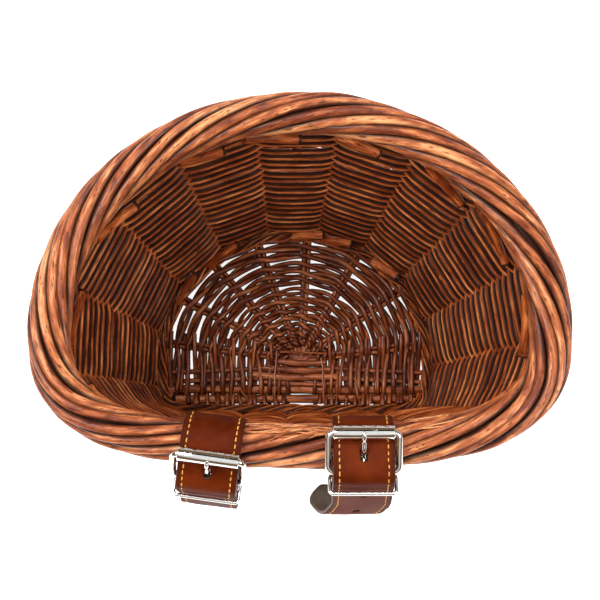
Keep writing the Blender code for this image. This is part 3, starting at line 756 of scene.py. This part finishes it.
def build_arches():
    bands = [Rods() for _ in range(ARCH_BANDS)]
    for index in range(ARCHES):
        weave = bands[index * ARCH_BANDS // ARCHES]
        share = index / (ARCHES - 1)
        thick = blend(ARCH_RADIUS, share)
        first_phase = 1 if index % 2 else -1
        uneven = RNG.normal(0, 0.007)
        for phase in (first_phase, -first_phase):
            line = arch_line(share + uneven, phase)
            stray(line, 6, 0.28 * MM)
            radii = thick * (1 + wander(len(line), 7, 0.10))
            weave.add(line, radii, sides=10, tint=RNG.uniform(0.1, 0.9), exposure=top_exposure)
        for side in (-1, 1) if index > 1 else ():
            line = filler_line(share - 0.5 / (ARCHES - 1), side, first_phase)
            weave.add(line, thick * 0.92, sides=8, tint=RNG.uniform(0.1, 0.9), exposure=top_exposure)
    for k, weave in enumerate(bands, 1):
        weave.build(f"base_arches_{k}", BASE_WILLOW, "basket", [f"base_weave_{k}"], "willow_base")


RING_RODS = 4
RING_TURNS = 11
RING_STEPS = 260
# Thin loose ends that lie over the base, in mm: where they start and end, and how far over it.
LOOSE_ENDS = (((-13.5, -12.0), (-14.5, -42.0), 3.2), ((12.5, -16.0), (13.5, -42.0), 3.0),
              ((-12.0, -12.5), (14.0, -13.5), 3.4), ((-33.0, -34.0), (-27.5, -43.0), 3.6),
              ((31.0, -30.0), (34.5, -43.0), 3.4))
LOOSE_STEPS = 16


def build_foot_ring():
    """Twisted rods that close the gap between the base and the wall."""
    ring = Rods()
    fraction = np.arange(RING_STEPS) / RING_STEPS
    plan = FLOOR.points(fraction) * 0.5 + FOOT.points(fraction) * 0.5
    out = wall_outward(fraction, 0.0)
    for k in range(RING_RODS):
        angle = 2 * pi * (fraction * RING_TURNS + k / RING_RODS) + wander(RING_STEPS, 20, 0.3, closed=True)
        line = np.concatenate([plan, np.full((RING_STEPS, 1), 7.6 * MM)], axis=1)
        line += out * (1.9 * MM * np.cos(angle) - 0.6 * MM)[:, None]
        line[:, 2] += 2.6 * MM * np.sin(angle)
        ring.add(line, 1.45 * MM * (1 + wander(RING_STEPS, 12, 0.1, closed=True)), sides=8, closed=True,
                 tint=RNG.uniform(0, 1), exposure=side_exposure)
    ring.build("base_foot_ring", WALL_WILLOW, "basket", slot="willow_wall")


def build_loose_ends():
    loose = Rods()
    share = np.linspace(0, 1, LOOSE_STEPS)
    for start, end, lift in LOOSE_ENDS:
        line = (np.outer(1 - share, (*start, 0)) + np.outer(share, (*end, 0))) * MM
        line[:, 2] = BASE_LEVEL + lift * MM + 0.9 * MM * np.sin(pi * share)
        line[:, 0] += wander(LOOSE_STEPS, 5, 0.3 * MM)
        loose.add(line, 0.55 * MM, sides=7, tint=0.9)
    loose.build("base_loose_ends", BASE_WILLOW, "basket", slot="willow_base")


build_border()
build_border_core()
build_frayed_fibres()
build_stubs()
build_wall()
build_top_rows()
build_stakes()
build_sticks()
build_arches()
build_foot_ring()
build_loose_ends()

# ---------------------------------------------------------------- straps: their routes, as in the model

STRAP_WIDTH = 27 * MM
STRAP_THICKNESS = 2.2 * MM
GAP = 0.35 * MM
WIRE_RADIUS = 1.5 * MM
ROLLER_RADIUS = 3.1 * MM
ROLLER_LENGTH = 27 * MM
FRAME_WIDTH = 31.2 * MM
ROLLER_DISTANCE = WRAP_RADIUS + STRAP_THICKNESS / 2 + GAP + ROLLER_RADIUS
HEEL_DISTANCE = 15.2 * MM
HEEL_ANGLE = radians(68)
PRONG_RADIUS = 1.1 * MM
FOLD_RADIUS = WIRE_RADIUS + GAP + STRAP_THICKNESS / 2
TAIL_RADIUS = FOLD_RADIUS + STRAP_THICKNESS + GAP
BAR_LOOP_RADIUS = 12.75 * MM
SLIT_BEND_RADIUS = 3.0 * MM
TIP_LENGTH = 11 * MM
KEEPER_RADIUS = 0.9 * MM
KEEPER_WIDTH = 29.4 * MM
KEEPER_DEPTH = 8.8 * MM
KEEPER_DROP = 6.2 * MM
STRAPS = {
    "left": {"roller": radians(20), "bar": (15.3 * MM, -36 * MM), "tail": 15 * MM, "drift": 0.0,
             "holes": (), "yaw": radians(-8), "ripple": 0.0},
    "right": {"roller": radians(-19.5), "bar": (15.4 * MM, -26 * MM), "tail": 62 * MM, "drift": -15 * MM,
              "holes": (12 * MM, 32 * MM), "yaw": 0.0, "ripple": 1.0},
}
FOLD_END, WRAP_END, TAIL_START = 2, 8, 10       # pieces of a strap's route


class Route:
    """A line over round things in the plane (outwards, up), as an array of points and headings.

    Each turn is (centre, radius, sense), with sense +1 anticlockwise and -1 clockwise.
    """

    def __init__(self, turns, first_heading, last_heading, lead_in=0.0):
        headings = [first_heading]
        for (c1, r1, s1), (c2, r2, s2) in zip(turns, turns[1:]):
            dx, dy = c2[0] - c1[0], c2[1] - c1[1]
            offset = s2 * r2 - s1 * r1
            headings.append(atan2(dy, dx) - atan2(offset, sqrt(dx * dx + dy * dy - offset * offset)))
        headings.append(last_heading)
        start = self.on_turn(turns[0], first_heading)
        start = (start[0] - lead_in * cos(first_heading), start[1] - lead_in * sin(first_heading))
        self.pieces = [("line", start, first_heading, lead_in)]
        for i, turn in enumerate(turns):
            swept = (headings[i + 1] - headings[i]) * turn[2] % (2 * pi)
            self.pieces.append(("turn", turn, headings[i], swept * turn[1]))
            if i + 1 < len(turns):
                a, b = self.on_turn(turn, headings[i + 1]), self.on_turn(turns[i + 1], headings[i + 1])
                self.pieces.append(("line", a, headings[i + 1], hypot(b[0] - a[0], b[1] - a[1])))

    @staticmethod
    def on_turn(turn, heading):
        (cx, cy), radius, sense = turn
        return (cx + sense * radius * sin(heading), cy - sense * radius * cos(heading))

    def start_of(self, index):
        return sum(piece[-1] for piece in self.pieces[:index])

    def at(self, distance):
        for index, (kind, where, heading, length) in enumerate(self.pieces):
            if distance <= length or index + 1 == len(self.pieces):
                if kind == "line":
                    return where[0] + distance * cos(heading), where[1] + distance * sin(heading), heading
                turned = heading + where[2] * distance / where[1]
                return (*self.on_turn(where, turned), turned)
            distance -= length

    def sample(self, distances):
        return np.array([self.at(max(0.0, d)) for d in distances])


def polar(distance, angle):
    return np.array((distance * sin(angle), distance * cos(angle)))


def buckle_points(side):
    """The roller's middle, the heel bar's middle, the way from heel to roller, and how far it is."""
    angle = STRAPS[side]["roller"]
    roller, heel = polar(ROLLER_DISTANCE, angle), polar(HEEL_DISTANCE, angle + HEEL_ANGLE)
    return roller, heel, unit(roller - heel), np.linalg.norm(roller - heel)


def strap_route(side):
    strap = STRAPS[side]
    heel, along = buckle_points(side)[1:3]
    turns = [
        (heel, FOLD_RADIUS, -1),
        (strap["bar"], BAR_LOOP_RADIUS, -1),
        ((2.5 * MM, -WRAP_RADIUS - SLIT_BEND_RADIUS), SLIT_BEND_RADIUS, 1),
        ((0.0, 0.0), WRAP_RADIUS, -1),
        (heel, TAIL_RADIUS, -1),
        (strap["bar"], BAR_LOOP_RADIUS + STRAP_THICKNESS + GAP, -1),
    ]
    return Route(turns, atan2(along[1], along[0]), radians(-200), 1.5 * MM)


def to_world(side, x, out, up):
    """From a strap's own plane to the world; all three may be arrays."""
    centre = JOINT[side + "_strap_swing"]
    yaw = STRAPS[side]["yaw"]
    x, out, up = np.broadcast_arrays(np.asarray(x, float), out, up)
    return np.stack([centre[0] + x * cos(yaw) + out * sin(yaw), centre[1] + x * sin(yaw) - out * cos(yaw),
                     centre[2] + up], axis=-1)


def side_axis(side, x, out, up):
    """A direction in a strap's own plane, turned into the world."""
    return to_world(side, x, out, up) - to_world(side, 0.0, 0.0, 0.0)


def off_route(side, x, where, shift):
    """Points off a strap's middle surface, over the places (out, up, heading) of its route."""
    out, up, heading = where
    return to_world(side, x, out - shift * np.sin(heading), up + shift * np.cos(heading))


# ---------------------------------------------------------------- straps: the leather

CELL = 0.9 * MM
EDGE_COLUMNS = (0.0, 0.2, 0.55, 1.1, 1.8, 2.35, 2.8, 3.25, 3.9)     # mm in from the edge
STITCH_INSET = 2.8 * MM
STITCH_PITCH = 3.0 * MM
STITCH_LENGTH = 2.25 * MM
THREAD_RADIUS = 0.34 * MM
PRONG_HOLE = (5.5 * MM, 10.3 * MM)  # along the frame, from its heel bar
PRONG_STEM = ((2.6, 1.6), (4.2, 0.2), (5.7, -0.8), (6.9, -0.9), (8.1, 0.1), (9.3, 1.6), (10.4, 2.7))


def strap_columns():
    """Places across the strap, closer together at the edges and along the stitch lines."""
    edge = STRAP_WIDTH / 2 - np.array(EDGE_COLUMNS) * MM
    inner = np.linspace(edge[-1], 0, round(edge[-1] / CELL - 1) + 1)[1:]
    right = np.concatenate([edge, inner])
    return np.concatenate([right, -right[-2::-1]])[::-1]


def tip_width(left):
    """The strap's share of its full width, by how far it is from the tip."""
    share = np.clip(1 - left / TIP_LENGTH, 0, 1)
    return 1 - 0.78 * share ** 1.9


def sideways(side, past_tail):
    """The right tail's end drifts to one side as it hangs."""
    share = np.maximum(0.0, past_tail - 24 * MM) / (38 * MM)
    return STRAPS[side]["drift"] * share ** 1.4


def prong_window(side, route):
    """The stretch of tail that the prong comes through."""
    heel, along = buckle_points(side)[1:3]
    distances = np.linspace(route.start_of(WRAP_END) - 6 * MM, route.start_of(TAIL_START), 300)
    reach = (route.sample(distances)[:, :2] - heel) @ along
    inside = distances[(reach > PRONG_HOLE[0]) & (reach < PRONG_HOLE[1])]
    return inside.min(), inside.max()


class Leather:
    """A strap as a grid of points: s is how far along each one is, x how far across."""

    def __init__(self, end):
        self.columns = strap_columns()
        self.rows = int(round(end / CELL))
        self.places = np.linspace(0, end, self.rows + 1)
        self.s, self.x = np.meshgrid(self.places, self.columns, indexing="ij")
        self.x = self.x * tip_width(end - self.s)
        self.missing = np.zeros((self.rows, len(self.columns) - 1), bool)
        self.rim = np.zeros(self.s.shape)

    def cut(self, start, stop, radius):
        """Open a slot with round ends down the middle, or a notch if it starts at the strap's end."""
        middle = len(self.columns) // 2
        first = max(int(round(start / CELL)), 0)
        last = max(int(round(stop / CELL)), first + 4)
        a = self.places[first] + (radius if first > 0 else 0.0)
        b = self.places[last] - radius
        a, b = (a, b) if a <= b else ((a + b) / 2,) * 2
        self.missing[first:last, middle - 2:middle + 2] = True
        for i in range(first, last + 1):
            for j in range(-2, 3):
                if abs(j) < 2 and (first < i < last or i == 0):
                    continue
                nearest = min(max(self.places[i], a), b)
                away = radius * unit(np.array((self.places[i] - nearest, self.columns[middle + j])))
                self.s[i, middle + j] = nearest + away[0]
                self.x[i, middle + j] = away[1]
                self.rim[i, middle + j] = 1.0

    def faces(self):
        """Faces of both sides and of every edge, each with its material's index."""
        count = self.s.size
        index = np.arange(count).reshape(self.s.shape)
        width = len(self.columns) - 1
        faces, kinds = [], []
        for i, j in np.argwhere(~self.missing):
            cell = [int(v) for v in (index[i, j], index[i + 1, j], index[i + 1, j + 1], index[i, j + 1])]
            near_edge = j in (0, width - 1) or i == self.rows - 1
            faces += [cell, [v + count for v in reversed(cell)]]
            kinds += [2, 2] if near_edge else [0, 1]
            for k, (ni, nj) in enumerate(((i, j - 1), (i + 1, j), (i, j + 1), (i - 1, j))):
                if not (0 <= ni < self.rows and 0 <= nj < width) or self.missing[ni, nj]:
                    a, b = cell[k], cell[(k + 1) % 4]
                    faces.append([a + count, b + count, b, a])
                    kinds.append(2)
        return faces, kinds


def build_strap(side):
    strap = STRAPS[side]
    route = strap_route(side)
    tail_start = route.start_of(TAIL_START)
    end = tail_start + strap["tail"]
    grid = Leather(end)
    grid.cut(0.0, route.start_of(FOLD_END) + 4.4 * MM, 1.9 * MM)
    grid.cut(*prong_window(side, route), 1.65 * MM)
    for offset in strap["holes"]:
        grid.cut(tail_start + offset, tail_start + offset + 3.4 * MM, 1.6 * MM)
    from_side = np.maximum(0.0, tip_width(end - grid.s) * STRAP_WIDTH / 2 - np.abs(grid.x))
    from_edge = np.minimum(from_side, end - grid.s)
    body = np.interp(from_edge, np.array((0, 0.2, 0.55, 1.1)) * MM, (0.50, 0.80, 0.96, 1.0))
    half = STRAP_THICKNESS / 2 * body * (1 - 0.22 * grid.rim)
    groove = np.exp(-((from_side - STITCH_INSET) / (0.5 * MM)) ** 2) * 0.13 * MM
    pad = 0.14 * MM * np.clip((from_side - 3.4 * MM) / (3 * MM), 0, 1) ** 0.5 - 0.14 * MM
    ripple = 0.10 * MM * np.sin(grid.s / (5.3 * MM) + 2.0 * np.sin(grid.x / (6 * MM)) + strap["ripple"])
    outside = half + pad - groove + np.minimum(0, ripple - 0.10 * MM)
    inside = -half + groove * 0.7
    where = np.moveaxis(route.sample(grid.s.ravel()).reshape(*grid.s.shape, 3), -1, 0)
    x = grid.x + sideways(side, grid.s - tail_start)
    shells = [off_route(side, x, where, shift).reshape(-1, 3) for shift in (outside, inside)]
    faces, kinds = grid.faces()
    name = f"{side}_strap_leather"
    mesh = smooth_mesh(name, np.concatenate(shells), faces, 55)
    attribute = mesh.attributes.new("from_edge", "FLOAT", "POINT")
    edge = np.minimum(from_edge, np.where(grid.rim > 0, 0.0, 1.0))
    attribute.data.foreach_set("value", np.tile(edge.ravel(), 2).astype(np.float32))
    mesh.polygons.foreach_set("material_index", kinds)
    place(name, mesh, [LEATHER, SUEDE, EDGE], f"{side}_strap", [f"{side}_strap"])
    build_stitches(side, route, end, tail_start)


STITCH_TAPER = np.array((0.45, 0.9, 1.0, 1.0, 0.9, 0.45))
STITCH_LIFT = np.array((-0.9, 0.0, 0.15, 0.15, 0.0, -0.9)) * THREAD_RADIUS - 0.42 * MM   # over the leather


def build_stitches(side, route, end, tail_start):
    """Two rows of dashes, seen on both faces of the leather."""
    threads = Rods()
    for edge in (-1, 1):
        for k in range(int((end - 5 * MM) / STITCH_PITCH)):
            start = 3 * MM + k * STITCH_PITCH + RNG.uniform(-0.12, 0.12) * MM
            s = start + np.linspace(0, STITCH_LENGTH, len(STITCH_TAPER))
            width = STRAP_WIDTH / 2 * tip_width(end - s) - STITCH_INSET
            x = edge * width + RNG.normal(0, 0.06) * MM + sideways(side, s - tail_start)
            where = route.sample(s).T
            normal = side_axis(side, 0.0, -np.sin(where[2]), np.cos(where[2]))
            for face in (1, -1):
                line = off_route(side, x, where, face * (STRAP_THICKNESS / 2 + STITCH_LIFT))
                threads.add(line, THREAD_RADIUS * STITCH_TAPER, normal, 6, tint=RNG.uniform(0, 1))
    threads.build(f"{side}_stitching", THREAD, f"{side}_strap", slot="leather")


# ---------------------------------------------------------------- straps: the buckles

def smooth_curve(s, knots, values):
    """A cubic through the values at the knots, with gentle slopes."""
    slopes = np.gradient(values, knots)
    k = np.clip(np.searchsorted(knots, s, side="right") - 1, 0, len(knots) - 2)
    h = knots[k + 1] - knots[k]
    u = (s - knots[k]) / h
    a, b = values[k], values[k + 1]
    p, q = slopes[k] * h, slopes[k + 1] * h
    start = (2 * u ** 3 - 3 * u ** 2 + 1) * a + (u ** 3 - 2 * u ** 2 + u) * p
    return start + (3 * u ** 2 - 2 * u ** 3) * b + (u ** 3 - u ** 2) * q


def rounded_rectangle(width, depth, corner, step=1.5 * MM, turn_steps=8):
    """A closed outline, with points about a step apart along its straight runs."""
    points = []
    for cx, cy, start in ((1, 1, 0), (-1, 1, 90), (-1, -1, 180), (1, -1, 270)):
        for angle in np.radians(np.linspace(start, start + 90, turn_steps + 1)):
            points.append((cx * (width / 2 - corner) + corner * cos(angle),
                           cy * (depth / 2 - corner) + corner * sin(angle)))
    result = []
    for a, b in zip(np.array(points), np.roll(points, -1, axis=0)):
        count = max(1, int(np.linalg.norm(b - a) / step))
        result += [a + (b - a) * k / count for k in range(count)]
    return np.array(result)


def build_ring(side, name, outline, middle, along, radius, sides, body, node):
    """A wire bent to an outline, whose second way runs along a direction in the strap's plane."""
    out, up = (middle[k] + along[k] * outline[:, 1] for k in (0, 1))
    points = to_world(side, outline[:, 0], out, up)
    wire = Rods()
    wire.add(points, radius, side_axis(side, 0.0, -along[1], along[0]), sides, closed=True)
    wire.build(f"{side}_{name}", NICKEL, f"{side}_{body}", [f"{side}_{node}"], "nickel")


def build_frame(side):
    roller, heel, along, length = buckle_points(side)
    outline = rounded_rectangle(FRAME_WIDTH, length, 3.0 * MM)
    middle = (roller + heel) / 2
    build_ring(side, "buckle_wire", outline, middle, along, WIRE_RADIUS, 20, "strap", "buckle_frame")


def build_keeper(side):
    route = strap_route(side)
    out, up, heading = route.at(route.start_of(FOLD_END) + KEEPER_DROP)
    across = np.array((-sin(heading), cos(heading)))
    behind = STRAP_THICKNESS / 2 + KEEPER_RADIUS + 5.5 * GAP
    middle = np.array((out, up)) + (KEEPER_DEPTH / 2 - behind) * across
    outline = rounded_rectangle(KEEPER_WIDTH, KEEPER_DEPTH, 1.8 * MM)
    build_ring(side, "keeper_wire", outline, middle, across, KEEPER_RADIUS, 14, "keeper", "keeper")


SEAM = 0.22 * MM / ROLLER_RADIUS    # radians
SEAM_AT = radians(-12)
SEAM_DEPTH = 0.35 * MM
ROLLER_LIP = 0.45 * MM              # how far its ends are turned in


def build_roller(side):
    """A sleeve rolled from sheet, with its seam and rounded ends."""
    roller = buckle_points(side)[0]
    inner = WIRE_RADIUS + GAP + 0.05 * MM
    half = ROLLER_LENGTH / 2
    profile = [(-half + ROLLER_LIP, inner), (-half, inner + 0.1 * MM), (-half, ROLLER_RADIUS - ROLLER_LIP),
               (-half + 0.13 * MM, ROLLER_RADIUS - 0.13 * MM), (-half + ROLLER_LIP, ROLLER_RADIUS)]
    profile += [(-x, radius) for x, radius in profile[::-1]]
    last = 2 * pi - 2 * SEAM
    turn = SEAM_AT + np.concatenate([[0.0], np.linspace(0.5 * SEAM, last - 0.5 * SEAM, 64), [last]])
    verts = []
    for k, angle in enumerate(turn):
        dip = SEAM_DEPTH if k in (0, len(turn) - 1) else 0.0
        for x, radius in profile:
            reach = radius - (dip if radius > inner + 0.2 * MM else 0.0)
            verts.append(to_world(side, x, roller[0] + reach * sin(angle), roller[1] + reach * cos(angle)))
    faces = tube_faces(np.arange(len(verts)).reshape(len(turn), len(profile)))
    mesh = smooth_mesh(f"{side}_roller_sleeve", verts, faces)
    place(f"{side}_roller_sleeve", mesh, [NICKEL], f"{side}_roller", [f"{side}_roller"])


def build_prong(side):
    """Wound round the heel bar, on under the leather, and up through the hole to rest on the roller."""
    heel, along, length = buckle_points(side)[1:]
    outward = np.array((along[1], -along[0]))
    tip = ROLLER_RADIUS + GAP + PRONG_RADIUS * 0.8
    loop = [polar(FOLD_RADIUS, angle) for angle in np.radians(np.linspace(-250, 20, 12))]
    curl = [(length, 0) + polar(tip, angle) for angle in np.radians((-40, -15, 8, 24))]
    marks = np.concatenate([loop, np.array(PRONG_STEM) * MM, curl])
    knots = np.concatenate([[0.0], np.cumsum(np.linalg.norm(np.diff(marks, axis=0), axis=1))])
    s = np.linspace(0, knots[-1], 72)
    path = np.stack([smooth_curve(s, knots, marks[:, k]) for k in (0, 1)], axis=1)
    flat = heel + path[:, :1] * along + path[:, 1:] * outward
    left = (knots[-1] - s) / MM
    radii = PRONG_RADIUS * np.interp(left, (0, 0.4, 1.4, 5), (0.45, 0.75, 0.9, 1.0))
    wire = Rods()
    wire.add(to_world(side, 0.0, flat[:, 0], flat[:, 1]), radii, side_axis(side, 1.0, 0.0, 0.0), 14)
    wire.build(f"{side}_prong_wire", NICKEL, f"{side}_prong", [f"{side}_prong"], "nickel")


for side_name in STRAPS:
    build_strap(side_name)
    build_frame(side_name)
    build_roller(side_name)
    build_prong(side_name)
    build_keeper(side_name)

# ---------------------------------------------------------------- floor and light

FLOOR_SIZE = 20.0                   # from the middle to an edge
FLOOR_LEVEL = -0.4 * MM
WHITE, WARM = (1.0, 1.0, 1.0), (0.20, 0.125, 0.06)
# The world's colour by how high it lies: a soft panel overhead, a dim warm room, and a pale horizon.
WORLD_STOPS = ((0.0, WHITE), (0.06, WHITE), (0.10, WARM), (0.62, WARM), (0.86, WHITE))
LIGHTS = (      # name, place, aim, size and watts
    ("key", (-0.58, 0.12, 1.05), (0, 0, 0.12), (0.30, 0.50), 10.5),
    ("fill", (0.60, -0.30, 0.95), (0, 0, 0.12), (0.25, 0.25), 6),
    ("back", (0.0, 0.50, 1.10), (0, -0.03, 0.12), (0.70, 0.14), 6),
)


def floor_material():
    n = Nodes("paper")
    cloud = n.noise(n.where(), 2.0, 0.5, 6.0)
    return n.surface(Base_Color=n.ramp(cloud, (0.3, 0.93), (0.7, 0.95)), Roughness=0.9,
                     Specular_IOR_Level=0.1, Emission_Color=(*WHITE, 1.0), Emission_Strength=0.85)


def make_floor():
    corners = [(x * FLOOR_SIZE, y * FLOOR_SIZE, 0) for x, y in ((-1, -1), (1, -1), (1, 1), (-1, 1))]
    mesh = bpy.data.meshes.new("floor")
    mesh.from_pydata(corners, [], [(0, 1, 2, 3)])
    floor = bpy.data.objects.new("floor", mesh)
    floor.location.z = FLOOR_LEVEL
    bpy.context.scene.collection.objects.link(floor)
    floor.data.materials.append(floor_material())


def make_light(name, where, aim, size, power):
    data = bpy.data.lights.new(name, "AREA")
    data.shape = "RECTANGLE"
    data.size, data.size_y = size
    data.energy = power
    lamp = bpy.data.objects.new(name, data)
    bpy.context.scene.collection.objects.link(lamp)
    lamp.location = where
    lamp.rotation_mode = "QUATERNION"
    lamp.rotation_quaternion = (Vector(aim) - Vector(where)).to_track_quat("-Z", "Y")


def make_world():
    world = bpy.data.worlds.new("studio")
    world.use_nodes = True
    tree = world.node_tree
    where = tree.nodes.new("ShaderNodeTexCoord")
    split = tree.nodes.new("ShaderNodeSeparateXYZ")
    ramp = tree.nodes.new("ShaderNodeValToRGB")
    set_stops(ramp.color_ramp, WORLD_STOPS)
    tree.links.new(where.outputs["Generated"], split.inputs[0])
    tree.links.new(split.outputs["Z"], ramp.inputs[0])
    tree.links.new(ramp.outputs["Color"], tree.nodes["Background"].inputs[0])
    bpy.context.scene.world = world


make_floor()
make_world()
for light in LIGHTS:
    make_light(*light)
bpy.context.scene.view_settings.view_transform = "Standard"
